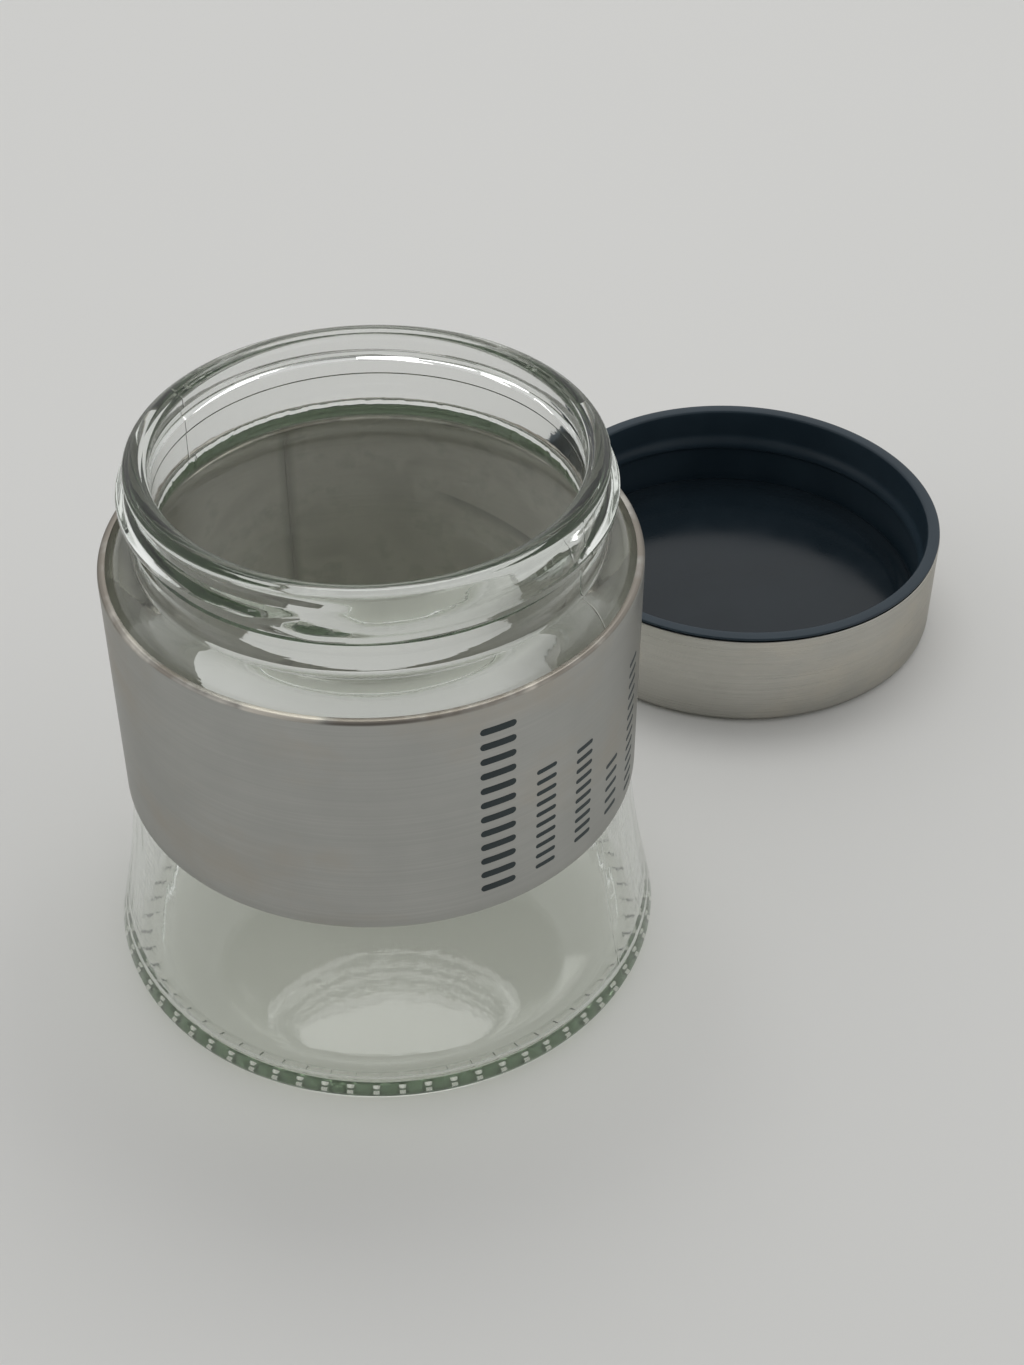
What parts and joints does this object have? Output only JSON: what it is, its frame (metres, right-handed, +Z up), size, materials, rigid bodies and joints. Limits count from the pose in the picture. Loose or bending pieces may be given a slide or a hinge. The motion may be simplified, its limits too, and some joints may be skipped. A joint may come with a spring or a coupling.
{
  "type": "lidded glass canister",
  "caption": "Round glass storage jar with a threaded neck, a loose steel sleeve round its body and a steel-clad screw lid lying beside it.",
  "frame": {"origin": "middle of the footprint of jar and lid together, on the surface they both stand on", "axes": "+Z up, +Y the long way of the footprint, from the jar's side towards the side where the lid lies, +X to the right of it"},
  "size_m": [0.1842, 0.2092, 0.1142],
  "materials": {
    "glass": "clear pressed glass, faint grey-green in thick edges",
    "sleeve_steel": "fine satin brush round the tube",
    "lid_steel": "fine satin brush round the skirt",
    "lid_plastic": "blue-black moulded, satin",
    "lid_seal_rubber": "dark, soft, matte",
    "adhesive": "cured adhesive, hidden"
  },
  "bodies": {
    "canister": {"glass_jar": "glass"},
    "sleeve": {"steel_sleeve": "sleeve_steel"},
    "lid_seal": {"lid_liner": "lid_seal_rubber"},
    "lid_cap": {"lid_shell": "lid_steel", "lid_insert": "lid_plastic", "lid_adhesive_ring": "adhesive"}
  },
  "joints": [
    {"name": "sleeve_lift", "type": "slide", "parent": "canister", "child": "sleeve", "axis": [0, 0, 1], "range_m": [0, 0.075]},
    {"name": "lid_swing", "type": "hinge", "parent": "canister", "child": "lid_seal", "pos_m": [0.0033, 0.0033, 0.06985], "axis": [0.7954, -0.606, 0], "range_deg": [0, 180]},
    {"name": "lid_turn", "type": "hinge", "parent": "lid_seal", "child": "lid_cap", "pos_m": [0.04345, 0.056, 0], "axis": [0, 0, 1], "range_deg": [0, 360]}
  ]
}
